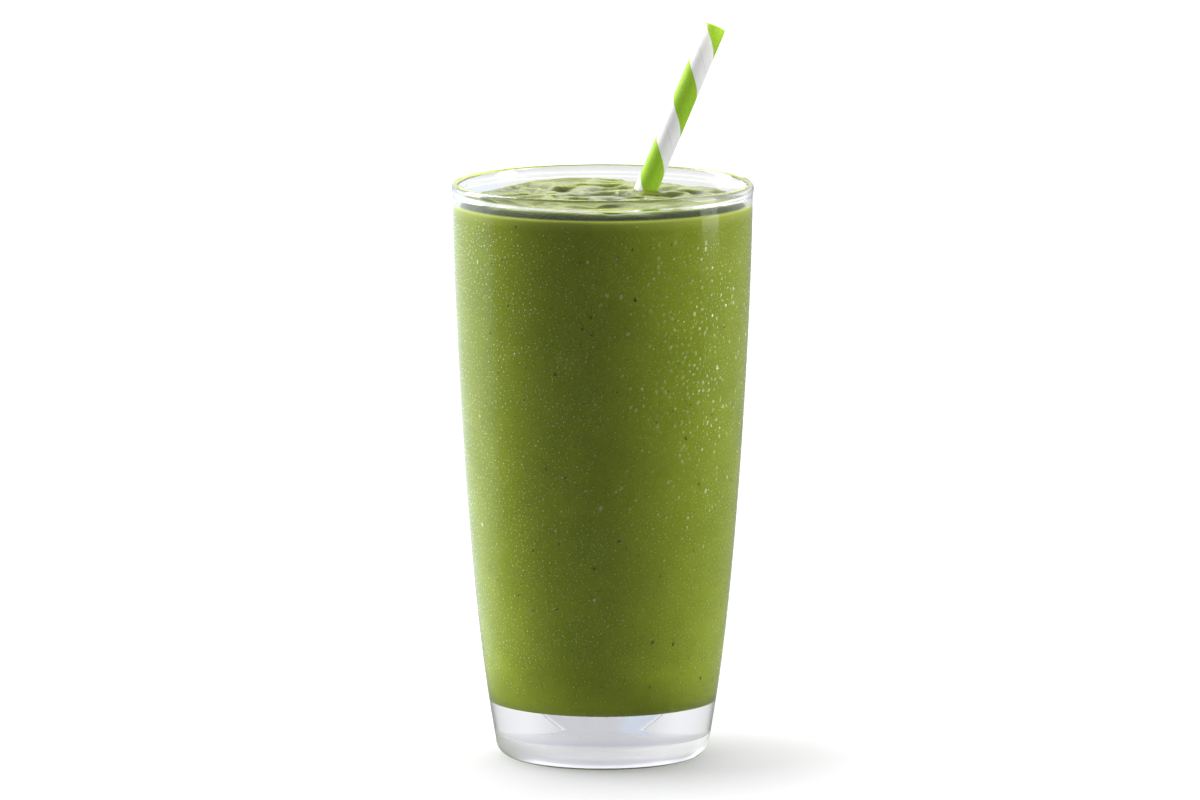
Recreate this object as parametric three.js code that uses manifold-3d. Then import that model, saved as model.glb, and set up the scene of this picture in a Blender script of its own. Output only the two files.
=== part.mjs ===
// A green smoothie: a tall clear glass, filled almost to its rim, with a paper straw in it.
// Millimetres, +Z up. The origin is the centre of the foot, and +Y points away from the viewer.
import * as THREE from "three";
import Module from "manifold-3d";
import { mergeVertices } from "three/addons/utils/BufferGeometryUtils.js";

// The glass: a thick-footed tumbler whose wall leans in more and more towards the foot.
const glassHeight = 152;
const wallRadius = 39.35; // outside, just under the rim
const taperDrop = 9.4; // how much the long even taper takes off that radius
const footDrop = 2.6; // and how much the tighter curl above the foot takes off
const taperPower = 1.5;
const footPower = 6;
const wallTopThickness = 1.5;
const wallExtraThickness = 1.1; // what the wall gains on its way down
const baseThickness = 14.4; // the solid glass under the drink
const footRadius = 23.8; // the flat that it stands on
const footCorner = 4.2; // height of the rounded edge of the foot
const cavityCorner = 12; // radius between the inside wall and the floor
const shoulderHeight = 148.4; // where the wall ends and the rim bead starts
const beadHeight = 150.2; // where the bead is widest
const beadRadius = 39.65;
const beadInnerRadius = 37.8;

// The drink: thick and blended, with a lumpy top that stands higher against the back wall.
const fillHeight = 146.4;
const gap = 0.3; // left between pieces that touch
const reliefDepth = 12; // how far down the side the lumps of the top fade out
const shoulderRise = 0.6; // the thick drink rounds up from the wall to its middle
const shoulderReach = 2.2;
const moundCount = 34;
const moundRadius = 6.5;
const moundHeight = 1.15;
const moundAtWall = 0.3; // share of the mounds that is left along the wall
const backRise = 1.45;
const backRiseCentre = [-9, 34];
const backRiseReach = [17, 9];

// The straw: spiral-wound paper, leaning to the right and away, with its end sunk in the drink.
const strawRadius = 3;
const strawWall = 0.45;
const strawEntry = new THREE.Vector3(10.9, 12, 147.4); // where its axis meets the top of the drink
const strawLean = new THREE.Vector3(0.387, 0.243, 0.889).normalize();
const strawAbove = 48.2; // length that shows above the drink
const strawBelow = 94; // length inside it, down to near the wall of the glass

// How finely the round shapes are divided.
const roundSteps = 64;
const strawSteps = 32;
const wallSteps = 9;
const cornerSteps = 6;
const lipSteps = 8;
const topRings = 13;
const ringCrowding = 1.4; // over 1, the rings lie closer together near the wall

const wasm = await Module();
wasm.setup();

const glassMaterial = new THREE.MeshStandardMaterial({
  color: 0xe9efec,
  roughness: 0.06,
  metalness: 0,
  transparent: true,
  opacity: 0.35,
});
const smoothieMaterial = new THREE.MeshStandardMaterial({ color: 0x6f8a22, roughness: 0.45, metalness: 0 });
const strawMaterial = new THREE.MeshStandardMaterial({ color: 0x9cc832, roughness: 0.75, metalness: 0 });

// Share of the way from the shoulder (0) down to the table (1).
function depthShare(z) {
  return (shoulderHeight - z) / shoulderHeight;
}

function outerRadius(z) {
  const share = Math.max(depthShare(z), 0);
  return wallRadius - taperDrop * share ** taperPower - footDrop * share ** footPower;
}

function innerRadius(z) {
  const share = Math.max(depthShare(z), 0);
  return outerRadius(z) - wallTopThickness - wallExtraThickness * share;
}

// A quarter of an ellipse from angle start to angle end, about a centre in the (radius, height) plane.
function arcPoints(centre, reach, start, end, steps) {
  const points = [];
  for (let i = 0; i <= steps; i += 1) {
    const angle = start + ((end - start) * i) / steps;
    points.push(new THREE.Vector2(centre[0] + reach[0] * Math.cos(angle), centre[1] + reach[1] * Math.sin(angle)));
  }
  return points;
}

// Points of a wall between two heights, radius given by a function of height.
function wallPoints(radiusAt, from, to, steps) {
  const points = [];
  for (let i = 0; i <= steps; i += 1) {
    const z = from + ((to - from) * i) / steps;
    points.push(new THREE.Vector2(radiusAt(z), z));
  }
  return points;
}

// Revolves a profile of (radius, height) points about Z and merges it into one closed shell.
function revolve(points, steps) {
  const turned = new THREE.LatheGeometry(points, steps);
  turned.rotateX(Math.PI / 2);
  turned.deleteAttribute("normal");
  turned.deleteAttribute("uv");
  const merged = mergeVertices(turned);
  const index = merged.getIndex().array;
  const kept = [];
  for (let i = 0; i < index.length; i += 3) {
    const [a, b, c] = [index[i], index[i + 1], index[i + 2]];
    if (a !== b && b !== c && c !== a) kept.push(a, b, c);
  }
  merged.setIndex(kept);
  return merged;
}

function toSolid(geometry) {
  const vertProperties = new Float32Array(geometry.getAttribute("position").array);
  const triVerts = new Uint32Array(geometry.getIndex().array);
  return new wasm.Manifold(new wasm.Mesh({ numProp: 3, vertProperties, triVerts }));
}

function toGeometry(solid) {
  const mesh = solid.getMesh();
  const geometry = new THREE.BufferGeometry();
  geometry.setAttribute("position", new THREE.BufferAttribute(new Float32Array(mesh.vertProperties), 3));
  geometry.setIndex(new THREE.BufferAttribute(new Uint32Array(mesh.triVerts), 1));
  return geometry;
}

function addMesh(group, name, geometry, material) {
  geometry.computeVertexNormals();
  const mesh = new THREE.Mesh(geometry, material);
  mesh.name = name;
  group.add(mesh);
  return mesh;
}

// One closed profile: foot, outside wall, rim bead, inside wall, rounded corner and floor of the cavity.
function glassGeometry() {
  const footEdge = outerRadius(footCorner);
  const cornerTop = baseThickness + cavityCorner;
  const lipCentre = (beadRadius + beadInnerRadius) / 2;
  const lipHalf = (beadRadius - beadInnerRadius) / 2;
  const beadSwell = (z) => {
    const share = (z - shoulderHeight) / (beadHeight - shoulderHeight);
    return wallRadius + (beadRadius - wallRadius) * (0.5 - 0.5 * Math.cos(Math.PI * share));
  };
  const cavityReach = innerRadius(cornerTop) - cavityCorner;
  const profile = [
    new THREE.Vector2(0, 0),
    ...arcPoints([footRadius, footCorner], [footEdge - footRadius, footCorner], -Math.PI / 2, 0, cornerSteps),
    ...wallPoints(outerRadius, footCorner, shoulderHeight, wallSteps).slice(1),
    ...wallPoints(beadSwell, shoulderHeight, beadHeight, 3).slice(1),
    ...arcPoints([lipCentre, beadHeight], [lipHalf, glassHeight - beadHeight], 0, Math.PI, lipSteps).slice(1),
    ...wallPoints(innerRadius, shoulderHeight, cornerTop, wallSteps),
    ...arcPoints([cavityReach, cornerTop], [cavityCorner, cavityCorner], 0, -Math.PI / 2, cornerSteps).slice(1),
    new THREE.Vector2(0, baseThickness),
  ];
  return revolve(profile, roundSteps);
}

// A number between 0 and 1 that looks random but is always the same for the same mound.
function scatter(i, turn) {
  const value = Math.sin(i * 12.9898 + turn * 78.233) * 43758.5453;
  return value - Math.floor(value);
}

// Height of the lumpy top above the fill height: soft mounds and pits, laid out on a sunflower spiral.
function relief(x, y) {
  const goldenAngle = Math.PI * (3 - Math.sqrt(5));
  let height = 0;
  for (let i = 0; i < moundCount; i += 1) {
    const reach = beadInnerRadius * Math.sqrt((i + 0.5) / moundCount);
    const spread = moundRadius * (0.65 + 0.7 * scatter(i, 1));
    const rise = moundHeight * (scatter(i, 2) - 0.4);
    const dx = x - reach * Math.cos(i * goldenAngle);
    const dy = y - reach * Math.sin(i * goldenAngle);
    height += rise * Math.exp(-(dx * dx + dy * dy) / (spread * spread));
  }
  const inset = Math.max(innerRadius(fillHeight) - gap - Math.hypot(x, y), 0);
  const inland = 1 - Math.exp(-inset / shoulderReach);
  const bx = (x - backRiseCentre[0]) / backRiseReach[0];
  const by = (y - backRiseCentre[1]) / backRiseReach[1];
  const rise = shoulderRise * inland + backRise * Math.exp(-(bx * bx + by * by));
  return rise + height * (moundAtWall + (1 - moundAtWall) * inland);
}

// The body of the drink before the straw is cut out of it.
function drinkGeometry() {
  const sideRadius = (z) => innerRadius(z) - gap;
  const floor = baseThickness + gap;
  const corner = cavityCorner - gap;
  const cornerTop = baseThickness + cavityCorner;
  const profile = [
    new THREE.Vector2(0, floor),
    ...arcPoints([sideRadius(cornerTop) - corner, cornerTop], [corner, corner], -Math.PI / 2, 0, cornerSteps),
    ...wallPoints(sideRadius, cornerTop, fillHeight - reliefDepth, wallSteps - 1).slice(1),
    ...wallPoints(sideRadius, fillHeight - reliefDepth, fillHeight, 4).slice(1),
  ];
  for (let ring = 1; ring <= topRings; ring += 1) {
    const radius = sideRadius(fillHeight) * (1 - (ring / topRings) ** ringCrowding);
    profile.push(new THREE.Vector2(radius, fillHeight));
  }
  const geometry = revolve(profile, roundSteps);
  const position = geometry.getAttribute("position");
  for (let i = 0; i < position.count; i += 1) {
    const [x, y, z] = [position.getX(i), position.getY(i), position.getZ(i)];
    const share = Math.max((z - (fillHeight - reliefDepth)) / reliefDepth, 0);
    position.setZ(i, z + relief(x, y) * share);
  }
  return geometry;
}

// A tube about the straw's axis, from so far below the top of the drink to so far above it.
function strawTube(innerR, outerR, below, above) {
  const profile = [
    new THREE.Vector2(innerR, -below),
    new THREE.Vector2(outerR, -below),
    new THREE.Vector2(outerR, above),
    new THREE.Vector2(innerR, above),
    new THREE.Vector2(innerR, -below),
  ];
  const geometry = revolve(profile, strawSteps);
  const turn = new THREE.Quaternion().setFromUnitVectors(new THREE.Vector3(0, 0, 1), strawLean);
  geometry.applyQuaternion(turn);
  geometry.translate(strawEntry.x, strawEntry.y, strawEntry.z);
  return geometry;
}

// The drink surrounds the straw's paper wall and fills its bore up to the same level.
function smoothieGeometry() {
  const slot = strawTube(strawRadius - strawWall - gap, strawRadius + gap, strawBelow + gap, strawAbove);
  const cut = toSolid(drinkGeometry()).subtract(toSolid(slot));
  return toGeometry(cut);
}

const drinkInGlass = new THREE.Group();
addMesh(drinkInGlass, "glass", glassGeometry(), glassMaterial);
addMesh(drinkInGlass, "smoothie", smoothieGeometry(), smoothieMaterial);
const strawShape = strawTube(strawRadius - strawWall, strawRadius, strawBelow, strawAbove);
addMesh(drinkInGlass, "straw", strawShape, strawMaterial);

export default drinkInGlass;
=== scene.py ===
# %% [markdown]
# # A green smoothie in a tall glass
# The real thing is a cold, thick drink in a clear tumbler with a heavy foot, dewed on the outside,
# with a striped paper straw. We load the measured frame first, because every piece is fitted to it:
# the glass, the drink and the straw each replace the plain solid of the same name.

# %% Load the frame
import math

import bpy
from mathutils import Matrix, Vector, noise


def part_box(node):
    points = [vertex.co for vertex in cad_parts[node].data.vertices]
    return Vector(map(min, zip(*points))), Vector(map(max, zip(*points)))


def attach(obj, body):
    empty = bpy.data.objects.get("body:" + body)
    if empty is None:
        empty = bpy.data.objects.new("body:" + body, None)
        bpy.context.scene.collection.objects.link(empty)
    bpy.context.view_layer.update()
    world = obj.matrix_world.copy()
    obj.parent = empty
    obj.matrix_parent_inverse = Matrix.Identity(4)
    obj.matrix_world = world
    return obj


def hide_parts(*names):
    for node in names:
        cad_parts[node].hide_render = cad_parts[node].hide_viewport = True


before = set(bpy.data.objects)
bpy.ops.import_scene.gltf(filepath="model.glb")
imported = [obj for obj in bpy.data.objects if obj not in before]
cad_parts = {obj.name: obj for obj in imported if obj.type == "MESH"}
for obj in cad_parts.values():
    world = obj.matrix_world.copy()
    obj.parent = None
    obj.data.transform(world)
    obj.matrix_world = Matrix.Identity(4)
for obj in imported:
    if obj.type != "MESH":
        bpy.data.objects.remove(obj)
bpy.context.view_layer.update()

print("nodes in the frame:", sorted(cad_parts))

# %% [markdown]
# ## Sizes
# All sizes below are millimetres, as on a drawing, and MM turns them into Blender's metres. What the
# frame already knows, such as the height of the rim, is read from it rather than typed again.

# %% Sizes of the glass, the drink and the straw
MM = 0.001
glass_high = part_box("glass")[1]
glass_height = glass_high.z / MM
bead_radius = glass_high.x / MM
lip_rise = 1.8
bead_thickness = 1.85
bead_swelling = 0.3
bead_height = glass_height - lip_rise
bead_inner_radius = bead_radius - bead_thickness
shoulder_height = glass_height - 2 * lip_rise
wall_radius = bead_radius - bead_swelling
taper_drop = 9.4
taper_power = 1.5
foot_drop = 2.6
foot_power = 6
wall_top_thickness = 1.5
wall_extra_thickness = 1.1
base_thickness = 14.4
foot_radius = 23.8
foot_corner = 4.2
cavity_corner = 12.0
fill_height = 146.4
wall_bite = 0.15
straw_radius = 3.0
straw_wall = 0.45
straw_entry = Vector((10.9, 12.0, 147.4))
straw_lean = Vector((0.387, 0.243, 0.889)).normalized()
straw_above = 48.2
straw_below = 94.0
print("glass", round(glass_height, 1), "mm tall,", round(2 * bead_radius, 1), "mm across the rim")

# %% [markdown]
# ## Profiles
# A tumbler is a turned shape: one outline swung round an axis. The wall follows a formula, a long
# even taper plus a tighter curl above the foot, so the outside, the inside, the drink and the dew
# can all ask for the radius at any height and fit each other.

# %% Radius of the wall at a height
def depth_share(z):
    """0 at the shoulder under the rim, 1 at the table."""
    return max((shoulder_height - z) / shoulder_height, 0.0)


def outer_radius(z):
    share = depth_share(z)
    return wall_radius - taper_drop * share ** taper_power - foot_drop * share ** foot_power


def inner_radius(z):
    share = depth_share(z)
    return outer_radius(z) - wall_top_thickness - wall_extra_thickness * share


def arc(centre, reach, start, end, steps):
    """Points of an elliptical arc in the (radius, height) plane."""
    points = []
    for i in range(steps + 1):
        turn = start + (end - start) * i / steps
        points.append((centre[0] + reach[0] * math.cos(turn), centre[1] + reach[1] * math.sin(turn)))
    return points


def wall(radius_at, start, end, steps):
    """Points of a wall between two heights."""
    heights = [start + (end - start) * i / steps for i in range(steps + 1)]
    return [(radius_at(z), z) for z in heights]


# %% A closed shell from a profile
def turned_shell(profile, steps):
    """Vertices in metres and faces of a profile swung round Z, with one vertex at each pole."""
    points = []
    rings = []
    for radius, height in profile:
        count = 1 if radius < 1e-6 else steps
        rings.append([len(points) + i for i in range(count)])
        for i in range(count):
            turn = 2 * math.pi * i / steps
            points.append((radius * math.cos(turn) * MM, radius * math.sin(turn) * MM, height * MM))
    faces = []
    for low, high in zip(rings, rings[1:]):
        for i in range(steps):
            j = (i + 1) % steps
            if len(low) == 1:
                faces.append((low[0], high[j], high[i]))
            elif len(high) == 1:
                faces.append((low[i], low[j], high[0]))
            else:
                faces.append((low[i], low[j], high[j], high[i]))
    return points, faces


def new_piece(name, points, faces, materials):
    """A smooth-shaded mesh object whose place is in its vertices."""
    mesh = bpy.data.meshes.new(name)
    mesh.from_pydata(points, [], faces)
    for material in materials:
        mesh.materials.append(material)
    mesh.polygons.foreach_set("use_smooth", [True] * len(mesh.polygons))
    piece = bpy.data.objects.new(name, mesh)
    bpy.context.scene.collection.objects.link(piece)
    return piece


def tell(piece):
    """Prints how many triangles a piece has."""
    triangles = sum(len(face.vertices) - 2 for face in piece.data.polygons)
    print(piece.name, "has", triangles, "triangles")


# %% [markdown]
# ## Helpers for node trees
# Materials and Geometry Nodes are both trees of nodes. One small function adds a node, sets it up
# and plugs it in, so each tree below reads as a list of what feeds what.

# %% Add and link nodes
def add(tree, kind, inputs=None, **settings):
    """Adds a node. An input is given a plain value, or an output socket to be linked to."""
    node = tree.nodes.new(kind)
    for name, value in settings.items():
        setattr(node, name, value)
    for name, value in (inputs or {}).items():
        if isinstance(value, bpy.types.NodeSocket):
            tree.links.new(value, node.inputs[name])
        else:
            node.inputs[name].default_value = value
    return node


def maths(tree, operation, *values):
    """The output of a Math node."""
    node = add(tree, "ShaderNodeMath", dict(enumerate(values)), operation=operation)
    return node.outputs[0]


def remap(tree, value, low, high, start=0.0, end=1.0, smooth=True):
    """value from low to high becomes start to end, and stays there beyond."""
    inputs = {"Value": value, "From Min": low, "From Max": high, "To Min": start, "To Max": end}
    kind = "SMOOTHSTEP" if smooth else "LINEAR"
    return add(tree, "ShaderNodeMapRange", inputs, interpolation_type=kind).outputs["Result"]


def blend_colour(tree, share, first, second):
    """The first colour where share is 0, the second where it is 1."""
    inputs = {"Factor": share, 6: first, 7: second}
    return add(tree, "ShaderNodeMix", inputs, data_type="RGBA").outputs[2]


def new_material(name):
    """An empty material, its node tree and its output node."""
    material = bpy.data.materials.new(name)
    material.use_nodes = True
    material.node_tree.nodes.clear()
    output = material.node_tree.nodes.new("ShaderNodeOutputMaterial")
    return material, material.node_tree, output


# %% [markdown]
# ## Shared shader effects
# One effect turns up in every finish here: an uneven mottling, in drink, paper, glass and floor. It
# is a node group with named sockets, built once and placed in each material with its own values.

# %% Group: mottling
def new_group(name, inputs, outputs):
    tree = bpy.data.node_groups.new(name, "ShaderNodeTree")
    for label, kind in inputs:
        tree.interface.new_socket(label, in_out="INPUT", socket_type=kind)
    for label, kind in outputs:
        tree.interface.new_socket(label, in_out="OUTPUT", socket_type=kind)
    return tree, tree.nodes.new("NodeGroupInput"), tree.nodes.new("NodeGroupOutput")


mottle_inputs = [("Vector", "NodeSocketVector"), ("Grain", "NodeSocketFloat"),
                 ("Low", "NodeSocketFloat"), ("High", "NodeSocketFloat")]
mottle, entry, leave = new_group("mottle", mottle_inputs, [("Value", "NodeSocketFloat")])
grain_scale = maths(mottle, "DIVIDE", 1.0, entry.outputs["Grain"])
cloud = add(mottle, "ShaderNodeTexNoise",
            {"Vector": entry.outputs["Vector"], "Scale": grain_scale, "Detail": 4.0})
spread = remap(mottle, cloud.outputs[0], 0.3, 0.7, entry.outputs["Low"], entry.outputs["High"])
mottle.links.new(spread, leave.inputs["Value"])
print("group", mottle.name, "has", len(mottle.nodes), "nodes")


def use_group(tree, group, inputs):
    """Places a node group and fills its inputs by name."""
    node = tree.nodes.new("ShaderNodeGroup")
    node.node_tree = group
    for name, value in inputs.items():
        if isinstance(value, bpy.types.NodeSocket):
            tree.links.new(value, node.inputs[name])
        else:
            node.inputs[name].default_value = value
    return node


def wander(tree, where, grain, low, high):
    """A value that wanders between low and high, with patches about grain metres across."""
    inputs = {"Vector": where, "Grain": grain, "Low": low, "High": high}
    return use_group(tree, mottle, inputs).outputs["Value"]


# %% [markdown]
# ## Clear glass and water
# Glass and dew both bend light. Light that is on its way to the drink, in shadow rays and in rays
# that have bounced off something matt, goes straight through, which keeps the drink evenly lit
# instead of speckled. One roughness would make the whole tumbler look the same, so it follows the
# height: misted where the drink chills the wall, crisp above it, a little soft on the bead, and
# scuffed on the round edge of the foot. The glass is tinted grey, darker in the thick base and
# bluish at the foot; most of that grey is painted shade, only a little of it the glass's own colour.
#
# The dew's skin is a little matt. Perfectly clear drops this small are cleaned away with the noise
# of the picture, and real ones look frosty from this far off too.

# %% Material: glass
def see_through(tree, output, shiny):
    """Shows the shiny shader to the eye, and lets light for matt surfaces pass straight."""
    path = add(tree, "ShaderNodeLightPath")
    passing = maths(tree, "MAXIMUM", path.outputs["Is Shadow Ray"], path.outputs["Is Diffuse Ray"])
    clear = add(tree, "ShaderNodeBsdfTransparent", {"Color": (0.97, 0.98, 0.97, 1.0)})
    both = add(tree, "ShaderNodeMixShader", {0: passing, 1: shiny.outputs[0], 2: clear.outputs[0]})
    tree.links.new(both.outputs[0], output.inputs["Surface"])


mist_foot = (0.014, 0.024)
mist_top = (0.141, 0.1465)
mist_roughness = 0.16
lip_start = (0.1485, 0.150)
clear_roughness = 0.012
rim_roughness = 0.11
flat_of_foot = (0.0003, 0.0010)
edge_of_foot = (0.0054, 0.0074)
scuffed_roughness = 0.45
# Painted shade: the grey of the wall, the darker base and the bluish grey foot stand in for shade and dark
# reflections in the glass; only a faint part is the glass's own colour.
base_end = (0.0140, 0.0185)
foot_shade_heights = (0.0040, 0.0064)
wall_tint_and_shade = (0.945, 0.955, 0.95, 1.0)
base_tint_and_shade = (0.64, 0.645, 0.67, 1.0)
foot_painted_shade = (0.52, 0.505, 0.60, 1.0)
clear_glass, tree, output = new_material("clear_glass")
where = add(tree, "ShaderNodeTexCoord").outputs["Object"]
height = add(tree, "ShaderNodeSeparateXYZ", {0: where}).outputs["Z"]
above_foot = remap(tree, height, mist_foot[0], mist_foot[1])
below_top = remap(tree, height, mist_top[0], mist_top[1], 1.0, 0.0)
mist = maths(tree, "MULTIPLY", above_foot, below_top)
patchy = maths(tree, "MULTIPLY", mist, wander(tree, where, 0.012, 0.6, 1.0))
rim_haze = remap(tree, height, lip_start[0], lip_start[1], clear_roughness, rim_roughness)
above_flat = remap(tree, height, flat_of_foot[0], flat_of_foot[1], 0.0, scuffed_roughness)
below_edge = remap(tree, height, edge_of_foot[0], edge_of_foot[1], 1.0, 0.0)
worn_foot = maths(tree, "MULTIPLY", above_flat, below_edge)
without_mist = maths(tree, "MAXIMUM", rim_haze, worn_foot)
roughness = maths(tree, "MULTIPLY_ADD", patchy, mist_roughness, without_mist)
in_base = remap(tree, height, base_end[0], base_end[1], 1.0, 0.0)
at_foot = remap(tree, height, foot_shade_heights[0], foot_shade_heights[1], 1.0, 0.0)
# The glass colour blends wall, base and foot: painted shade with a little real colour.
tint_and_shade = blend_colour(tree, at_foot, blend_colour(tree, in_base, wall_tint_and_shade, base_tint_and_shade), foot_painted_shade)
glass_look = add(tree, "ShaderNodeBsdfPrincipled", {
    "Base Color": tint_and_shade, "Roughness": roughness, "IOR": 1.5, "Transmission Weight": 1.0})
see_through(tree, output, glass_look)
print("material", clear_glass.name, "has", len(tree.nodes), "nodes")

# %% Material: dew
dew_water, tree, output = new_material("dew_water")
where = add(tree, "ShaderNodeTexCoord").outputs["Object"]
skin_roughness = wander(tree, where, 0.004, 0.276, 0.29)
# Painted glint colour: the water is coloured cream so its glints look warm; clear water has no colour of
# its own.
painted_glint_tint = (0.95, 1.0, 0.80, 1.0)
water_look = add(tree, "ShaderNodeBsdfPrincipled", {
    "Base Color": painted_glint_tint, "Roughness": skin_roughness, "IOR": 1.333, "Transmission Weight": 1.0})
see_through(tree, output, water_look)
print("material", dew_water.name, "has", len(tree.nodes), "nodes")

# %% [markdown]
# ## The drink's finish
# A smoothie is a dense mix of fruit, leaf and ice: opaque, but light still soaks a few millimetres
# into it. The upper edge of its sides is painted paler as well, a painted glow for that light. Pulp
# makes it uneven, and fine bits of leaf show as dark specks. The top is wet, which a coat over its
# colour gives. Its colour is painted shade and light: darker than the sides, deep green in the
# hollows and near the wall, brighter along the ridges. The mesh stores what the colours need to know
# about a point of the top, in the attributes ridge, sheen and top. The height alone would give its
# pits the green of the sides.

# %% Material: smoothie
leaf_green = (0.245, 0.318, 0.010, 1.0)
fruit_green = (0.298, 0.374, 0.016, 1.0)
painted_glow_green = (0.46, 0.52, 0.10, 1.0)
# Painted shade and light on the top: deep green in the hollows and near the wall, brighter on the ridges,
# and darker than the sides overall.
shaded_hollow_green = (0.036, 0.052, 0.006, 1.0)
lit_ridge_green = (0.165, 0.200, 0.012, 1.0)
speck_green = (0.05, 0.085, 0.004, 1.0)
glow_depth = 3.4
strongest_glow = 0.65
green_drink, tree, output = new_material("green_drink")
where = add(tree, "ShaderNodeTexCoord").outputs["Object"]
height = add(tree, "ShaderNodeSeparateXYZ", {0: where}).outputs["Z"]
inner_top = add(tree, "ShaderNodeAttribute", attribute_name="top").outputs["Fac"]
risen = remap(tree, height, (fill_height - 0.1) * MM, (fill_height + 0.5) * MM)
on_top = maths(tree, "MAXIMUM", risen, inner_top)
swirl = wander(tree, where, 0.011, 0.0, 1.0)
pulp = wander(tree, where, 0.0009, 0.0, 1.0)
body = blend_colour(tree, maths(tree, "MULTIPLY_ADD", swirl, 0.6, maths(tree, "MULTIPLY", pulp, 0.4)),
                    leaf_green, fruit_green)
bits = add(tree, "ShaderNodeTexVoronoi", {"Vector": where, "Scale": 420.0})
near_bit = remap(tree, bits.outputs["Distance"], 0.06, 0.14, 1.0, 0.0)
bit_luck = add(tree, "ShaderNodeSeparateColor", {"Color": bits.outputs["Color"]}).outputs[1]
bit_share = maths(tree, "MULTIPLY", near_bit, remap(tree, bit_luck, 0.6, 0.9))
speckled = blend_colour(tree, maths(tree, "MULTIPLY", bit_share, 0.5), body, speck_green)
# The ridge share picks between the painted shade and the painted light of the top.
ridge = add(tree, "ShaderNodeAttribute", attribute_name="ridge").outputs["Fac"]
top_shade_and_light = blend_colour(tree, ridge, shaded_hollow_green, lit_ridge_green)
# Painted glow: the upper edge of the sides is painted paler, where light that enters the top would come
# out.
glow_start = (fill_height - glow_depth) * MM
painted_glow_share = remap(tree, height, glow_start, (fill_height - 0.3) * MM, 0.0, strongest_glow)
sides = blend_colour(tree, painted_glow_share, speckled, painted_glow_green)
drink_colour = blend_colour(tree, on_top, sides, top_shade_and_light)
drink_bump = add(tree, "ShaderNodeBump",
                 {"Strength": 0.4, "Distance": 0.0004, "Height": maths(tree, "MULTIPLY", pulp, on_top)})
sheen = add(tree, "ShaderNodeAttribute", attribute_name="sheen").outputs["Fac"]
wet_coat = maths(tree, "MULTIPLY", maths(tree, "MULTIPLY", on_top, sheen), 0.6)
drink_look = add(tree, "ShaderNodeBsdfPrincipled", {
    "Base Color": drink_colour, "Roughness": 0.6, "Normal": drink_bump.outputs[0],
    "Specular IOR Level": 0.1, "Coat Weight": wet_coat, "Coat Roughness": 0.2,
    "Subsurface Weight": 0.45, "Subsurface Radius": (1.0, 1.2, 0.3), "Subsurface Scale": 0.003})
tree.links.new(drink_look.outputs[0], output.inputs["Surface"])
print("material", green_drink.name, "has", len(tree.nodes), "nodes")


# %% Material: leaf bits and fruit skin
def bit_material(name, dark, light):
    material, tree, output = new_material(name)
    where = add(tree, "ShaderNodeTexCoord").outputs["Object"]
    shade = blend_colour(tree, wander(tree, where, 0.002, 0.0, 1.0), dark, light)
    look = add(tree, "ShaderNodeBsdfPrincipled",
               {"Base Color": shade, "Roughness": 0.7, "Specular IOR Level": 0.1})
    tree.links.new(look.outputs[0], output.inputs["Surface"])
    return material


leaf_bit = bit_material("leaf_bit", (0.03, 0.050, 0.004, 1.0), (0.10, 0.15, 0.006, 1.0))
skin_bit = bit_material("skin_bit", (0.08, 0.025, 0.010, 1.0), (0.20, 0.10, 0.03, 1.0))
print("materials", leaf_bit.name, skin_bit.name)

# %% [markdown]
# ## The paper of the straw
# The straw is wound from paper printed in lime green and white. The stripe is a helix, so it is
# drawn from the straw's own UV map: U runs once round the straw and V runs once along it, and
# the stripe's phase is turns along the straw minus turns round it. Paper is matt, faintly fibrous,
# and a little grey where the strips meet.

# %% Material: striped paper
straw_length = straw_above + straw_below
stripe_pitch = 22.5
stripe_centre = 20.6
front_turn = 0.75
lime = (0.30, 0.56, 0.016, 1.0)
deep_lime = (0.25, 0.49, 0.012, 1.0)
paper_white = (0.93, 0.93, 0.92, 1.0)
seam_grey = (0.45, 0.46, 0.42, 1.0)
striped_paper, tree, output = new_material("striped_paper")
where = add(tree, "ShaderNodeTexCoord").outputs["Object"]
straw_uv = add(tree, "ShaderNodeUVMap", uv_map="unrolled").outputs[0]
unrolled = add(tree, "ShaderNodeSeparateXYZ", {0: straw_uv})
turns_along = maths(tree, "MULTIPLY", unrolled.outputs["Y"], straw_length / stripe_pitch)
phase = maths(tree, "SUBTRACT", turns_along, unrolled.outputs["X"])
shifted = maths(tree, "ADD", phase, front_turn + 0.5 - stripe_centre / stripe_pitch + 4.0)
from_centre = maths(tree, "ABSOLUTE", maths(tree, "SUBTRACT", maths(tree, "FRACT", shifted), 0.5))
white_share = remap(tree, from_centre, 0.247, 0.253)
seam_share = remap(tree, from_centre, 0.49, 0.497, 0.0, 0.35)
fibres = wander(tree, where, 0.0006, 0.0, 1.0)
green = blend_colour(tree, fibres, deep_lime, lime)
printed = blend_colour(tree, white_share, green, paper_white)
worn = blend_colour(tree, seam_share, printed, seam_grey)
paper_roughness = wander(tree, where, 0.0008, 0.55, 0.75)
paper_bump = add(tree, "ShaderNodeBump", {"Strength": 0.25, "Distance": 0.00008, "Height": fibres})
paper_look = add(tree, "ShaderNodeBsdfPrincipled", {
    "Base Color": worn, "Roughness": paper_roughness, "Normal": paper_bump.outputs[0],
    "Specular IOR Level": 0.3,
    "Subsurface Weight": 0.5, "Subsurface Radius": (1.0, 1.0, 0.8), "Subsurface Scale": 0.003})
tree.links.new(paper_look.outputs[0], output.inputs["Surface"])
print("material", striped_paper.name, "has", len(tree.nodes), "nodes")

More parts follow.
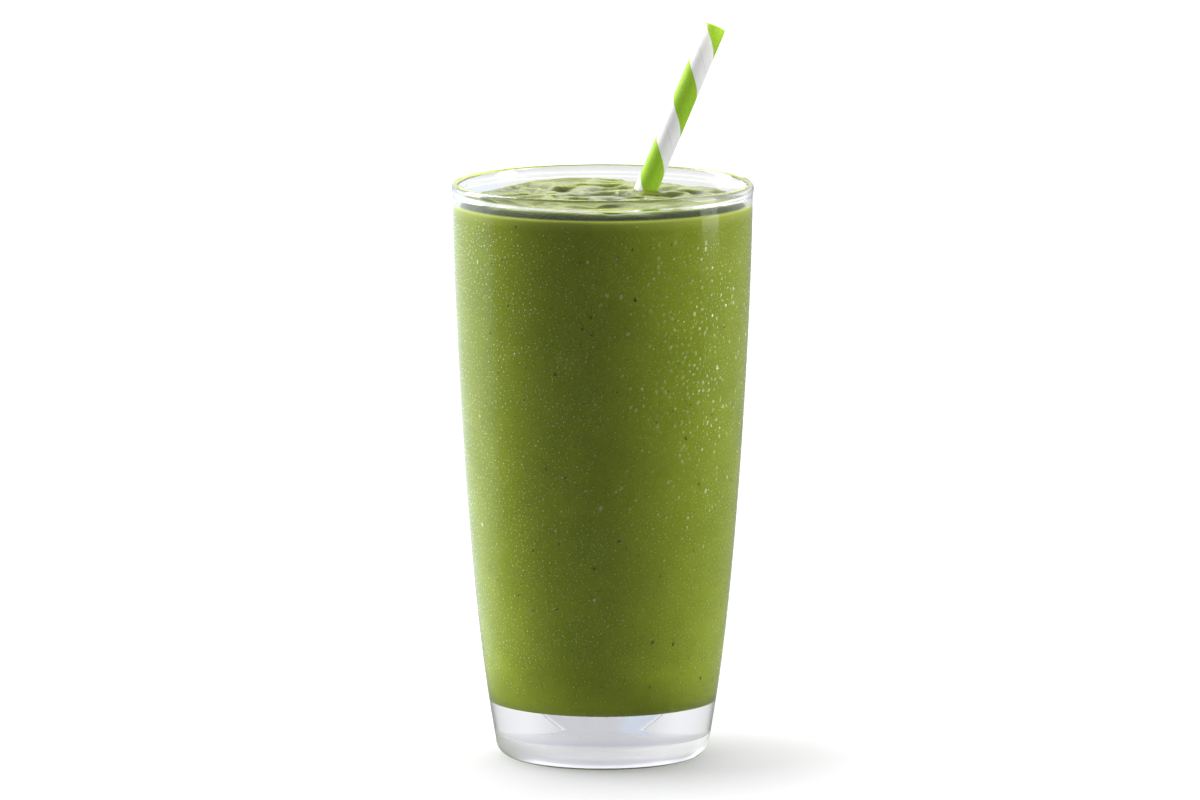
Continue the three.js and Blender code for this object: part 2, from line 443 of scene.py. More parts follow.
# %% Material: bare paper inside and at the cut ends
dark_ply = (0.70, 0.66, 0.52, 1.0)
pale_ply = (0.85, 0.83, 0.75, 1.0)
bare_paper, tree, output = new_material("bare_paper")
where = add(tree, "ShaderNodeTexCoord").outputs["Object"]
ply = blend_colour(tree, wander(tree, where, 0.0005, 0.0, 1.0), dark_ply, pale_ply)
bare_look = add(tree, "ShaderNodeBsdfPrincipled", {"Base Color": ply, "Roughness": 0.8})
tree.links.new(bare_look.outputs[0], output.inputs["Surface"])
print("material", bare_paper.name, "has", len(tree.nodes), "nodes")

# %% [markdown]
# ## The glass
# One closed outline, swung round: the flat foot with its rounded edge, the wall, a rounded bead at
# the rim, the inside wall, and the soft corner of the cavity over a thick clear base. It could be a
# Screw modifier on a curve; a mesh from the formula gives full control of how fine each bend is.

# %% Piece: glass
def bead_swell(z):
    """The wall thickens outwards in a soft curve on its way up to the bead."""
    share = (z - shoulder_height) / (bead_height - shoulder_height)
    return wall_radius + (bead_radius - wall_radius) * (0.5 - 0.5 * math.cos(math.pi * share))


round_steps = 256
corner_steps = 14
lip_steps = 18
lip_centre = (bead_radius + bead_inner_radius) / 2
lip_half = (bead_radius - bead_inner_radius) / 2
corner_top = base_thickness + cavity_corner
foot_reach = outer_radius(foot_corner) - foot_radius
cavity_reach = inner_radius(corner_top) - cavity_corner
quarter = math.pi / 2
glass_profile = [(0.0, 0.0), (foot_radius * 0.5, 0.0)]
glass_profile += arc((foot_radius, foot_corner), (foot_reach, foot_corner), -quarter, 0.0, corner_steps)
glass_profile += wall(outer_radius, foot_corner, shoulder_height, 40)[1:]
glass_profile += wall(bead_swell, shoulder_height, bead_height, 6)[1:]
glass_profile += arc((lip_centre, bead_height), (lip_half, lip_rise), 0.0, math.pi, lip_steps)[1:]
glass_profile += wall(inner_radius, shoulder_height, corner_top, 34)
cavity_arc = arc((cavity_reach, corner_top), (cavity_corner, cavity_corner), 0.0, -quarter, corner_steps)
glass_profile += cavity_arc[1:]
glass_profile += [(cavity_reach * 0.5, base_thickness), (0.0, base_thickness)]
points, faces = turned_shell(glass_profile, round_steps)
glass = new_piece("tumbler", points, faces, [clear_glass])
tell(glass)

# %% [markdown]
# ## The drink
# The drink is one solid that reaches just into the wall of the glass, so that no sliver of air shows
# between them. Its top is what makes it a smoothie: a thick mass that rounds up from the wall,
# in soft mounds laid out on a sunflower spiral, with finer folds left by pouring.

# %% Relief of the top
def scatter(i, turn):
    """A number from 0 to 1 that looks random and is always the same for the same mound."""
    value = math.sin(i * 12.9898 + turn * 78.233) * 43758.5453
    return value - math.floor(value)


mound_count = 34
mound_radius = 6.5
mound_height = 1.15
mound_reach = 2.2
mound_at_wall = 0.3
edge_rise, edge_reach = 1.2, 1.4
front_rise, front_reach, front_start = 0.7, 0.4, 8.0
back_rise = 1.45
back_centre, back_reach = (-9.0, 34.0), (17.0, 9.0)
solid_gap = 0.3
golden_angle = math.pi * (3 - math.sqrt(5))
mounds = []
for i in range(mound_count):
    reach = bead_inner_radius * math.sqrt((i + 0.5) / mound_count)
    spread = mound_radius * (0.65 + 0.7 * scatter(i, 1))
    rise = mound_height * (scatter(i, 2) - 0.4)
    mounds.append((reach * math.cos(i * golden_angle), reach * math.sin(i * golden_angle), spread, rise))
drink_radius = inner_radius(fill_height) - solid_gap


def bump(x, y, centre, reach):
    """1 at the centre of an oval bump, falling away over its reach along x and along y."""
    return math.exp(-((x - centre[0]) / reach[0]) ** 2 - ((y - centre[1]) / reach[1]) ** 2)


def climb(inset, reach):
    """0 at the wall, near 1 once well further in than the reach."""
    return 1 - math.exp(-inset / reach)


def broad_relief(x, y):
    """The mounds, the round edge along the wall and the higher stretch at the back, in millimetres."""
    height = 0.0
    for mx, my, spread, rise in mounds:
        height += rise * math.exp(-((x - mx) ** 2 + (y - my) ** 2) / spread ** 2)
    inset = max(drink_radius - math.hypot(x, y), 0.0)
    at_front = 0.5 + 0.5 * math.tanh((-y - front_start) / front_start)
    edge = edge_rise * climb(inset, edge_reach) + front_rise * at_front * climb(inset, front_reach)
    at_back = back_rise * bump(x, y, back_centre, back_reach)
    return edge + at_back + height * (mound_at_wall + (1 - mound_at_wall) * climb(inset, mound_reach))


def fade(value, low, high):
    """0 below low, 1 above high, and a soft ramp between."""
    share = min(max((value - low) / (high - low), 0.0), 1.0)
    return share * share * (3 - 2 * share)


# Blender's noise vectors start from the clock unless they are seeded, and the folds would then lie
# elsewhere in every run. The seed is the one that the last pictures of the unseeded folds had.
fold_seed = 1795814330
noise.seed_set(fold_seed)
push_grain, push_length = 11.0, 5.0
fold_grain, fold_height, fold_level = (8.0, 5.0), 2.6, 0.25
wisp_grain, wisp_height = (1.9, 1.3), 0.12


def fine_relief(x, y):
    """Folds and wisps: ridges of noise whose position is itself pushed about by noise."""
    push = noise.noise_vector(Vector((x / push_grain, y / push_grain, 2.0))) * push_length
    fold = noise.noise(Vector(((x + push.x) / fold_grain[0], (y + push.y) / fold_grain[1], 0.5)))
    wisp = noise.noise(Vector(((x + push.y) / wisp_grain[0], (y - push.x) / wisp_grain[1], 7.5)))
    inland = fade(drink_radius - math.hypot(x, y), 0.2, 5.0)
    return inland * (fold_height * (fold_level - abs(fold)) + wisp_height * wisp)


collar_rise, collar_reach = 0.35, 0.9
pushed_rise = 0.75
pushed_centre, pushed_reach = (6.2, 9.5), (3.4, 2.6)


def straw_collar(x, y):
    """The drink clings to the straw, and is pushed up in a small ridge on its left."""
    away = max(math.hypot(x - straw_entry.x, y - straw_entry.y) - straw_radius, 0.0)
    pushed_up = pushed_rise * bump(x, y, pushed_centre, pushed_reach)
    return collar_rise * math.exp(-away / collar_reach) + pushed_up


# %% Piece: drink
relief_depth = 12.0
top_rings = 100
ring_crowding = 1.25


def drink_side(z):
    return inner_radius(z) + wall_bite


drink_profile = [(0.0, base_thickness - wall_bite)]
drink_corner = cavity_corner + wall_bite
corner_centre = (drink_side(corner_top) - drink_corner, corner_top)
drink_profile += arc(corner_centre, (drink_corner, drink_corner), -quarter, 0.0, corner_steps)
drink_profile += wall(drink_side, corner_top, fill_height - relief_depth, 44)[1:]
drink_profile += wall(drink_side, fill_height - relief_depth, fill_height, 16)[1:]
edge_radius = drink_side(fill_height)
for ring in range(1, top_rings + 1):
    drink_profile.append((edge_radius * (1 - (ring / top_rings) ** ring_crowding), fill_height))
points, faces = turned_shell(drink_profile, round_steps)
lifted = []
ridges = []
sheens = []
tops = []
for x, y, z in points:
    share = max(z / MM - (fill_height - relief_depth), 0.0) / relief_depth
    if share > 0:
        at = (x / MM, y / MM)
        z += share * broad_relief(*at) * MM
        if share > 0.999:
            z += (fine_relief(*at) + straw_collar(*at)) * MM
    lifted.append((x, y, z))
    inset = drink_radius - math.hypot(x, y) / MM
    # ridge: how high a point of the top lies, fading out near the wall; high points get painted light, low
    # points and the wall strip painted shade.
    ridges.append(min(max((z / MM - fill_height - 0.6) / 1.6, 0.0), 1.0) * fade(inset, 0.5, 3.5))
    sheens.append(fade(inset, 1.0, 4.5))
    tops.append(fade(inset, 1.5, 3.5) if share > 0.999 else 0.0)
drink = new_piece("smoothie_body", lifted, faces, [green_drink])
drink.data.attributes.new("ridge", "FLOAT", "POINT").data.foreach_set("value", ridges)
drink.data.attributes.new("sheen", "FLOAT", "POINT").data.foreach_set("value", sheens)
drink.data.attributes.new("top", "FLOAT", "POINT").data.foreach_set("value", tops)
tell(drink)

# %% [markdown]
# ## The straw
# A paper tube with a real wall, open at both ends. Its outside carries a shallow helical groove
# where the edges of the wound strip meet, so the rows of the mesh are close together on the part
# that shows and far apart on the part sunk in the drink.

# %% Piece: straw
straw_steps = 64
groove_depth = 0.05
groove_width = 0.010
to_eye = Vector((0.0, -1.0, 0.0))
front = (to_eye - straw_lean * to_eye.dot(straw_lean)).normalized()
right = straw_lean.cross(front)
straw_top = straw_entry + straw_lean * straw_above


def groove(turn, down):
    """How deep the groove is, so many turns round the straw and so far down from its top."""
    phase = (down - stripe_centre) / stripe_pitch - turn + front_turn + 0.5
    from_seam = abs(phase - math.floor(phase) - 0.5)
    return groove_depth * math.exp(-(from_seam / groove_width) ** 2)


def straw_point(radius, turn, down):
    angle = 2 * math.pi * turn
    spot = straw_top - straw_lean * down + (right * math.cos(angle) - front * math.sin(angle)) * radius
    return spot * MM


shown_rows = 340
shown_length = straw_above + 4.0
downs = [shown_length * i / shown_rows for i in range(shown_rows + 1)]
hidden_rows = 60
downs += [shown_length + (straw_length - shown_length) * i / hidden_rows for i in range(1, hidden_rows + 1)]
inner_rows = 12
edge_round = 0.08
outline = [(straw_radius - straw_wall, downs[-1] - edge_round)]
outline += [(straw_radius - straw_wall + edge_round, downs[-1]), (straw_radius - edge_round, downs[-1])]
outline += [(straw_radius, down) for down in reversed(downs[1:-1])]
outline += [(straw_radius, edge_round), (straw_radius - edge_round, 0.0)]
outline += [(straw_radius - straw_wall + edge_round, 0.0), (straw_radius - straw_wall, edge_round)]
outline += [(straw_radius - straw_wall, straw_length * i / inner_rows) for i in range(1, inner_rows)]
points = []
for radius, down in outline:
    for i in range(straw_steps):
        turn = i / straw_steps
        depth = groove(turn, down) if radius == straw_radius else 0.0
        points.append(straw_point(radius - depth, turn, down))
faces = []
rows = len(outline)
for row in range(rows):
    after = (row + 1) % rows
    for i in range(straw_steps):
        j = (i + 1) % straw_steps
        faces.append((row * straw_steps + i, row * straw_steps + j,
                      after * straw_steps + j, after * straw_steps + i))
straw = new_piece("paper_straw", points, faces, [striped_paper, bare_paper])
unrolled_map = straw.data.uv_layers.new(name="unrolled")
for face in straw.data.polygons:
    row, i = divmod(face.index, straw_steps)
    after = (row + 1) % rows
    corners = ((i, row), (i + 1, row), (i + 1, after), (i, after))
    for loop, (column, line) in zip(face.loop_indices, corners):
        unrolled_map.data[loop].uv = (column / straw_steps, outline[line][1] / straw_length)
    outside = min(outline[row][0], outline[after][0]) > straw_radius - edge_round - 1e-6
    face.material_index = 0 if outside else 1
tell(straw)

# %% [markdown]
# ## Dew
# Condensation is thousands of small domes of water, so Geometry Nodes grow it: points are spread
# over the outside wall, each gets a flat dome of its own size, and the domes are made real. A dome
# is a cone whose rows are bent along a sine, which needs few faces and has a closed, flat underside.
# Bigger drops come first, and each finer kind keeps clear of the one before, as real drops do
# because the big ones swallow what touches them.

# %% Tree: drops on a surface
def grow(name, tree, surface, values):
    """Runs a geometry tree on a copy of a mesh, and keeps the result as a plain mesh."""
    carrier = bpy.data.objects.new(name, surface.copy())
    bpy.context.scene.collection.objects.link(carrier)
    modifier = carrier.modifiers.new(name, "NODES")
    modifier.node_group = tree
    for item in tree.interface.items_tree:
        if item.in_out == "INPUT" and item.name in values:
            modifier[item.identifier] = values[item.name]
    graph = bpy.context.evaluated_depsgraph_get()
    grown = bpy.data.meshes.new_from_object(carrier.evaluated_get(graph))
    carrier.modifiers.remove(modifier)
    carrier.data = grown
    return carrier


drops_tree = bpy.data.node_groups.new("drops", "GeometryNodeTree")
drops_tree.interface.new_socket("Geometry", in_out="OUTPUT", socket_type="NodeSocketGeometry")
drops_inputs = [("Geometry", "Geometry"), ("Spacing", "Float"), ("Density", "Float"), ("Smallest", "Float"),
                ("Largest", "Float"), ("Favour Small", "Float"), ("Flatness", "Float"), ("Sink", "Float"),
                ("Stretch", "Float"), ("Wobble", "Float"), ("Sides", "Int"), ("Rings", "Int"),
                ("Seed", "Int"), ("Keep Clear Of", "Object"), ("Clearance", "Float"),
                ("Material", "Material")]
for label, kind in drops_inputs:
    drops_tree.interface.new_socket(label, in_out="INPUT", socket_type="NodeSocket" + kind)
given = drops_tree.nodes.new("NodeGroupInput").outputs
drops_end = drops_tree.nodes.new("NodeGroupOutput")
weight = add(drops_tree, "GeometryNodeInputNamedAttribute", {"Name": "wetness"}, data_type="FLOAT")
spread = add(drops_tree, "GeometryNodeDistributePointsOnFaces", {
    "Mesh": given["Geometry"], "Distance Min": given["Spacing"], "Density Max": given["Density"],
    "Density Factor": weight.outputs[0], "Seed": given["Seed"]}, distribute_method="POISSON")
bigger = add(drops_tree, "GeometryNodeObjectInfo", {"Object": given["Keep Clear Of"]})
nearest = add(drops_tree, "GeometryNodeProximity", {"Geometry": bigger.outputs["Geometry"]})
too_near = maths(drops_tree, "LESS_THAN", nearest.outputs["Distance"], given["Clearance"])
swallowed = maths(drops_tree, "MULTIPLY", too_near, nearest.outputs["Is Valid"])
kept = add(drops_tree, "GeometryNodeDeleteGeometry",
           {"Geometry": spread.outputs["Points"], "Selection": swallowed}, domain="POINT")


def draw(low, high, offset):
    """A random number for each drop, with its own seed."""
    seed = maths(drops_tree, "ADD", given["Seed"], offset)
    node = add(drops_tree, "FunctionNodeRandomValue", {2: low, 3: high, "Seed": seed}, data_type="FLOAT")
    return node.outputs[1]


chance = maths(drops_tree, "POWER", draw(0.0, 1.0, 11), given["Favour Small"])
size = remap(drops_tree, chance, 0.0, 1.0, given["Smallest"], given["Largest"], smooth=False)
size_kept = add(drops_tree, "GeometryNodeStoreNamedAttribute", {
    "Geometry": kept.outputs[0], "Name": "size", "Value": size}, data_type="FLOAT", domain="POINT")
size_node = add(drops_tree, "GeometryNodeInputNamedAttribute", {"Name": "size"}, data_type="FLOAT")
size_read = size_node.outputs[0]
depth = maths(drops_tree, "MULTIPLY", given["Sink"], -1.0)
inward = add(drops_tree, "ShaderNodeVectorMath",
             {0: spread.outputs["Normal"], "Scale": depth}, operation="SCALE")
sunk = add(drops_tree, "GeometryNodeSetPosition",
           {"Geometry": size_kept.outputs[0], "Offset": inward.outputs[0]})
stretch = maths(drops_tree, "MULTIPLY_ADD", given["Stretch"], draw(0.0, 1.0, 23), 1.0)
scale = add(drops_tree, "ShaderNodeCombineXYZ", {
    0: size_read, 1: maths(drops_tree, "MULTIPLY", size_read, stretch),
    2: maths(drops_tree, "MULTIPLY", size_read, given["Flatness"])})
cone = add(drops_tree, "GeometryNodeMeshCone", {
    "Vertices": given["Sides"], "Side Segments": given["Rings"], "Radius Top": 0.0, "Radius Bottom": 1.0,
    "Depth": 1.0}, fill_type="NGON")
cone_at = add(drops_tree, "GeometryNodeInputPosition").outputs[0]
cone_height = add(drops_tree, "ShaderNodeSeparateXYZ", {0: cone_at}).outputs["Z"]
bend = maths(drops_tree, "MULTIPLY", cone_height, quarter)
narrow = maths(drops_tree, "MAXIMUM", maths(drops_tree, "SUBTRACT", 1.0, cone_height), 0.001)
widen = maths(drops_tree, "DIVIDE", maths(drops_tree, "COSINE", bend), narrow)
flat_way = add(drops_tree, "ShaderNodeCombineXYZ", {0: widen, 1: widen, 2: 0.0})
round_way = add(drops_tree, "ShaderNodeVectorMath",
                {0: cone_at, 1: flat_way.outputs[0]}, operation="MULTIPLY")
lift = add(drops_tree, "ShaderNodeCombineXYZ", {2: maths(drops_tree, "SINE", bend)})
dome_at = add(drops_tree, "ShaderNodeVectorMath",
              {0: round_way.outputs[0], 1: lift.outputs[0]}, operation="ADD")
dome = add(drops_tree, "GeometryNodeSetPosition",
           {"Geometry": cone.outputs["Mesh"], "Position": dome_at.outputs[0]})
smooth_dome = add(drops_tree, "GeometryNodeSetShadeSmooth",
                  {"Geometry": dome.outputs[0], "Selection": cone.outputs["Side"]})
spin = add(drops_tree, "ShaderNodeCombineXYZ", {2: draw(-0.6, 0.6, 37)})
turned = add(drops_tree, "FunctionNodeRotateRotation",
             {"Rotation": spread.outputs["Rotation"], "Rotate By": spin.outputs[0]}, rotation_space="LOCAL")
placed = add(drops_tree, "GeometryNodeInstanceOnPoints", {
    "Points": sunk.outputs[0], "Instance": smooth_dome.outputs[0],
    "Rotation": turned.outputs[0], "Scale": scale.outputs[0]})
real = add(drops_tree, "GeometryNodeRealizeInstances", {0: placed.outputs[0]})
unevenness = add(drops_tree, "ShaderNodeTexNoise", {"Scale": 900.0, "Detail": 1.0})
centred = add(drops_tree, "ShaderNodeVectorMath", {0: unevenness.outputs["Color"], 1: (0.5, 0.5, 0.5)},
              operation="SUBTRACT")
nudge = add(drops_tree, "ShaderNodeVectorMath",
            {0: centred.outputs[0], "Scale": given["Wobble"]}, operation="SCALE")
uneven = add(drops_tree, "GeometryNodeSetPosition",
             {"Geometry": real.outputs[0], "Offset": nudge.outputs[0]})
painted = add(drops_tree, "GeometryNodeSetMaterial",
              {"Geometry": uneven.outputs[0], "Material": given["Material"]})
drops_tree.links.new(painted.outputs[0], drops_end.inputs["Geometry"])
print("tree", drops_tree.name, "has", len(drops_tree.nodes), "nodes")


# %% Surface that the dew grows on
def skin_of(name, radius_at, low, high, wetness_at):
    """An open band of wall, with how wet each place is stored as an attribute."""
    steps = 128
    band = wall(radius_at, low, high, 48)
    points, faces = turned_shell(band, steps)
    mesh = bpy.data.meshes.new(name)
    mesh.from_pydata(points, [], faces)
    wetness = mesh.attributes.new("wetness", "FLOAT", "POINT")
    for i, point in enumerate(points):
        wetness.data[i].value = wetness_at(Vector(point) / MM)
    return mesh


def even_wetness(spot):
    """All over where the drink is, thinning out towards the foot and the rim."""
    patch = 0.75 + 0.5 * noise.noise(spot / 14)
    return fade(spot.z, 14, 30) * fade(145.5, spot.z, spot.z + 4) * patch


wettest = Vector((23.0, -29.0, 110.0))
wettest_width, wettest_height = (13.0, 16.0), 30.0


def patchy_wetness(spot):
    """Large drops gather in patches, most of all high on the right of the front."""
    patch = fade(noise.noise(spot / 17 + Vector((3, 1, 7))), 0.0, 0.35)
    across = bump(spot.x, spot.y, wettest, wettest_width)
    gathered = across * math.exp(-((spot.z - wettest.z) / wettest_height) ** 2)
    return fade(spot.z, 24, 60) * fade(144.0, spot.z, spot.z + 8) * min(0.08 * patch + gathered, 1.0)


dew_low, dew_high = 14.0, 145.2
fine_skin = skin_of("fine_skin", outer_radius, dew_low, dew_high, even_wetness)
drop_skin = skin_of("drop_skin", outer_radius, dew_low, dew_high, patchy_wetness)
print("skins with", len(fine_skin.vertices), "vertices each")

# %% Pieces: four sizes of dew
shared = {"Density": 1.0e6, "Flatness": 0.42, "Sink": 0.00003, "Material": dew_water}
clearance_share = 1.3
dew_kinds = [
    ("dew_drops", drop_skin, {"Spacing": 0.0013, "Smallest": 0.00020, "Largest": 0.00046, "Seed": 3,
                              "Favour Small": 1.5, "Stretch": 0.7, "Sides": 14, "Rings": 6,
                              "Wobble": 0.00045}),
    ("dew_beads", fine_skin, {"Spacing": 0.0012, "Smallest": 0.00013, "Largest": 0.00022, "Seed": 5,
                              "Favour Small": 1.3, "Stretch": 0.3, "Sides": 6, "Rings": 2}),
    ("dew_fine", fine_skin, {"Spacing": 0.0009, "Smallest": 0.00009, "Largest": 0.00014, "Seed": 7,
                             "Favour Small": 1.2, "Stretch": 0.2, "Sides": 6, "Rings": 2}),
    ("dew_mist", fine_skin, {"Spacing": 0.0006, "Smallest": 0.00006, "Largest": 0.00010, "Seed": 9,
                             "Favour Small": 1.0, "Stretch": 0.1, "Sides": 5, "Rings": 1}),
]
dew = []
for name, surface, values in dew_kinds:
    if dew:
        clearance = values["Largest"] * clearance_share
        values = {**values, "Keep Clear Of": dew[-1], "Clearance": clearance}
    dew.append(grow(name, drops_tree, surface, {**shared, **values}))
    tell(dew[-1])

# %% [markdown]
# ## Bits in the drink
# Blended leaf never quite disappears. The same tree scatters thin flakes over the drink's skin,
# flat against the inside of the glass, with a few reddish scraps of fruit skin among them.

# %% Pieces: leaf and skin bits
drink_skin = skin_of("drink_skin", lambda z: drink_side(z) + 0.01, 16.0, 145.5, lambda spot: 1.0)
flake = {"Flatness": 0.12, "Sink": 0.0, "Favour Small": 2.2, "Stretch": 1.1, "Wobble": 0.0002,
         "Sides": 6, "Rings": 1}
leaf_values = {"Spacing": 0.002, "Density": 1.2e4, "Smallest": 0.00010, "Largest": 0.00040, "Seed": 21,
               "Material": leaf_bit}
skin_values = {"Spacing": 0.012, "Density": 7.0e2, "Smallest": 0.00020, "Largest": 0.00050, "Seed": 28,
               "Material": skin_bit}
leaf_bits = grow("leaf_bits", drops_tree, drink_skin, {**flake, **leaf_values})
skin_bits = grow("skin_bits", drops_tree, drink_skin, {**flake, **skin_values})
tell(leaf_bits)
tell(skin_bits)

# %% [markdown]
# ## Put the pieces on the body
# Every piece rides on the one body. The glass, the drink and the straw take the place of their
# solids, which are switched off.

# %% Ride and replace
replaced = {glass: "glass", drink: "smoothie", straw: "straw"}
slots = {glass: "clear_glass", drink: "green_drink", straw: "striped_paper",
         leaf_bits: "green_drink", skin_bits: "green_drink"}
slots.update({drops: "clear_glass" for drops in dew})
for piece, slot_name in slots.items():
    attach(piece, "root")
for piece, node_name in replaced.items():
    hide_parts(node_name)
print(len(slots), "pieces ride on root")

# %% [markdown]
# ## Floor, light and camera
# The photo is a plain studio picture: white floor, a broad light on each side, darkness behind the
# camera. The dark side matters, because it is what leaves the middle of the drink deep green while
# both edges glow. The camera stands well back with a long lens, looking slightly down.
#
# A studio keeps black boards and white paper just out of the picture. Here the floor stands in for them
# with painted shade and light: it is white to the camera, painted dark to rays that bounce, painted
# grey to rays that pass through glass, except far off where it is painted white, and painted bright in
# three pools of light that only scattered light sees. Mirror-like rays see a bluish grey painted
# reflection on the floor to the left. In the same way some lights reach only the floor, the dew or the
# straw, where a photographer would shade them off.

# %% Floor
floor_tones = ((0.572, 0.569, 0.588, 1.0), (0.592, 0.589, 0.608, 1.0))
painted_shade_black = (0.06, 0.06, 0.06, 1.0)
painted_light_white = (0.95, 0.95, 0.92, 1.0)
painted_reflection_blue = (0.40, 0.44, 0.50, 1.0)
far_painted_white = (0.98, 0.98, 0.98, 1.0)
floor_paint, tree, output = new_material("floor_paint")
where = add(tree, "ShaderNodeTexCoord").outputs["Object"]
place = add(tree, "ShaderNodeSeparateXYZ", {0: where})
forward = place.outputs["Y"]
path = add(tree, "ShaderNodeLightPath")
through = path.outputs["Is Transmission Ray"]
soft = path.outputs["Is Diffuse Ray"]
bounced = maths(tree, "SUBTRACT", 1.0, maths(tree, "MAXIMUM", path.outputs["Is Camera Ray"], through))
# Painted shade: rays that bounce see the floor painted near black, a little less so behind the glass, so no
# light comes back off it.
bounce_shade = remap(tree, forward, -0.10, 0.05, 1.0, 0.9)


def pool_about(x, near, far, strength):
    """A round pool of painted light on the floor: strength within near metres of its middle, nothing beyond
    far.
    """
    away = add(tree, "ShaderNodeVectorMath", {0: where, 1: (x, 0.0, 0.0)}, operation="DISTANCE")
    return remap(tree, away.outputs["Value"], near, far, strength, 0.0)


# Painted light: three pools, left, right and under the glass, that only diffuse rays see, like light thrown
# back off white paper.
side_pools = maths(tree, "MAXIMUM", pool_about(-0.12, 0.06, 0.13, 1.0), pool_about(0.06, 0.02, 0.055, 0.9))
pools = maths(tree, "MAXIMUM", side_pools, pool_about(0.0, 0.045, 0.11, 0.2))
lit_pools = maths(tree, "MULTIPLY", soft, pools)
# Painted shade: seen through the glass, the floor is painted grey, standing in for the shade behind and
# under the glass.
shade_seen_through = remap(tree, forward, 0.10, 0.95, 0.40, 0.36)
painted_shade_share = maths(tree, "MULTIPLY_ADD", bounced, bounce_shade, maths(tree, "MULTIPLY", through, shade_seen_through))
# Painted reflection: mirror-like rays see a bluish grey patch of floor on the left, which colours the
# glass's reflections there.
leftward = remap(tree, place.outputs["X"], -0.12, -0.04, 1.0, 0.0)
left_reflection_patch = maths(tree, "MULTIPLY", leftward, remap(tree, forward, -0.02, 0.10))
mirrored = maths(tree, "MULTIPLY", path.outputs["Is Glossy Ray"], left_reflection_patch)
# Painted light: far off, the floor seen through the glass is painted near white, brighter than its own
# tone.
far_off = maths(tree, "MULTIPLY", through, remap(tree, forward, 1.5, 4.0))
floor_colour = blend_colour(tree, wander(tree, where, 0.05, 0.0, 1.0), *floor_tones)
floor_colour = blend_colour(tree, painted_shade_share, floor_colour, painted_shade_black)
floor_colour = blend_colour(tree, lit_pools, floor_colour, painted_light_white)
floor_colour = blend_colour(tree, mirrored, floor_colour, painted_reflection_blue)
floor_colour = blend_colour(tree, far_off, floor_colour, far_painted_white)
floor_look = add(tree, "ShaderNodeBsdfPrincipled", {"Base Color": floor_colour, "Roughness": 0.8})
tree.links.new(floor_look.outputs[0], output.inputs["Surface"])
floor_half = 6.0
floor_level = -0.0001
corners = [(x, y, floor_level) for x, y in ((-floor_half, -floor_half), (floor_half, -floor_half),
                                            (floor_half, floor_half), (-floor_half, floor_half))]
floor = new_piece("floor", corners, [(0, 1, 2, 3)], [floor_paint])
print("floor", 2 * floor_half, "m across")


# %% Lights
def softbox(name, place, aim, width, height, radiance, only=None):
    """A rectangular area light that faces aim. With only, it lights that collection alone."""
    light = bpy.data.lights.new(name, "AREA")
    light.shape = "RECTANGLE"
    light.size = width
    light.size_y = height
    light.energy = radiance * 4 * width * height
    box = bpy.data.objects.new(name, light)
    box.location = place
    box.rotation_euler = (Vector(aim) - Vector(place)).to_track_quat("-Z", "Y").to_euler()
    box.visible_camera = False
    box.light_linking.receiver_collection = only
    bpy.context.scene.collection.objects.link(box)
    return box


def around(azimuth, distance, height):
    """A place at an azimuth about the glass: 0 is towards the camera, 90 is to its right."""
    turn = math.radians(azimuth)
    return (distance * math.sin(turn), -distance * math.cos(turn), height)


def lit_group(name, pieces):
    """A collection of what a light may reach."""
    group = bpy.data.collections.new(name)
    for piece in pieces:
        group.objects.link(piece)
    return group


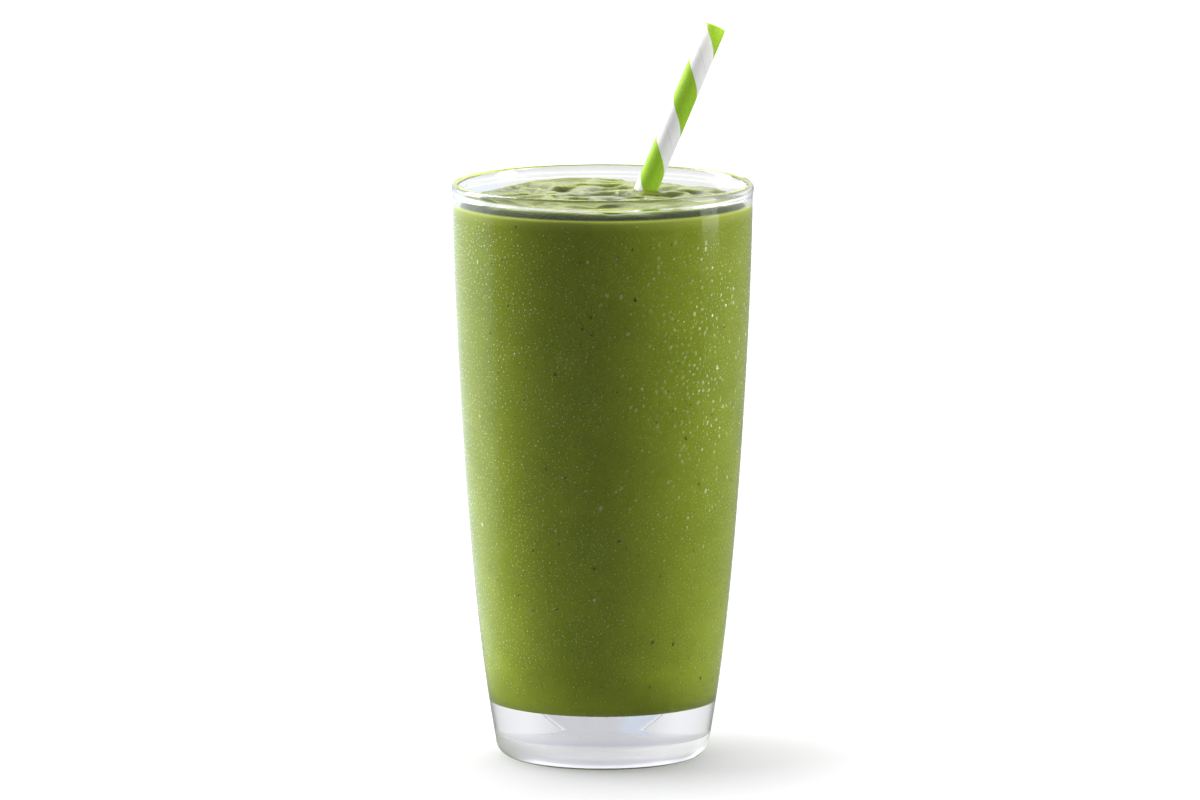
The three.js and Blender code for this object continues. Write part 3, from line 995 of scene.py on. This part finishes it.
whole = lit_group("whole", slots)
dewy = lit_group("dewy", dew)
paper = lit_group("paper", [straw])
ground = lit_group("ground", [floor])
middle = (0.0, 0.0, 0.08)
front_glow, back_glow, horizon_glow = 0.20, 0.85, 1.5
softbox("left_box", around(-117, 0.75, 0.55), middle, 0.36, 0.8, 10.2, whole)
softbox("right_box", around(85, 0.75, 0.55), middle, 0.35, 0.8, 5.2, whole)
softbox("left_spark", around(-95, 0.75, 0.32), middle, 0.6, 0.8, 10.0, dewy)
softbox("right_spark", around(105, 0.75, 0.30), middle, 0.4, 0.6, 6.5, dewy)
softbox("straw_fill", around(-20, 0.8, 0.45), middle, 0.5, 0.5, 2.4, paper)
softbox("shadow_box", around(-100, 0.45, 1.9), middle, 0.7, 0.7, 9.5, ground)
softbox("floor_fill", (0.0, -0.4, 1.5), (0.0, -0.4, 0.0), 2.4, 1.6, 1.3, ground)
softbox("strip_box", around(90, 0.9, 0.15), middle, 0.3, 0.35, 1.5, whole)
softbox("sky_box", (0.0, 2.1, 1.3), (0.0, 2.1, 0.0), 3.6, 3.0, 1.7)
world = bpy.data.worlds.new("studio")
world.use_nodes = True
tree = world.node_tree
direction = add(tree, "ShaderNodeTexCoord").outputs["Generated"]
heading = add(tree, "ShaderNodeSeparateXYZ", {0: direction})
glow = remap(tree, heading.outputs["Y"], -0.75, 0.15, front_glow, back_glow)
sideways = maths(tree, "ABSOLUTE", heading.outputs["X"])
horizon = remap(tree, sideways, 0.10, 0.55, 1.0, horizon_glow)
low_down = remap(tree, maths(tree, "ABSOLUTE", heading.outputs["Z"]), 0.10, 0.35, 1.0, 0.0)
behind = remap(tree, heading.outputs["Y"], 0.2, 0.5)
glow = maths(tree, "ADD", glow, maths(tree, "MULTIPLY", maths(tree, "SUBTRACT", horizon, glow),
                                     maths(tree, "MULTIPLY", low_down, behind)))
tree.links.new(glow, tree.nodes["Background"].inputs["Strength"])
tree.nodes["Background"].inputs["Color"].default_value = (1.0, 1.0, 1.0, 1.0)
bpy.context.scene.world = world
bpy.context.scene.view_settings.view_transform = "Standard"
print("lights:", [item.name for item in bpy.data.lights])

# %% Camera
photo_width = 1200
pixels_per_radian = 9881.0
camera_distance = 2.569
camera_height = 0.474
aim_point = Vector((-0.0007, 0.0, 0.0943))
camera_data = bpy.data.cameras.new("camera")
camera_data.sensor_width = 36.0
camera_data.lens = pixels_per_radian / photo_width * camera_data.sensor_width
camera_data.clip_end = 50.0
camera = bpy.data.objects.new("camera", camera_data)
camera.location = (aim_point.x, -camera_distance, camera_height)
camera.rotation_euler = (aim_point - camera.location).to_track_quat("-Z", "Y").to_euler()
bpy.context.scene.collection.objects.link(camera)
bpy.context.scene.camera = camera
print("lens", round(camera_data.lens, 1), "mm")
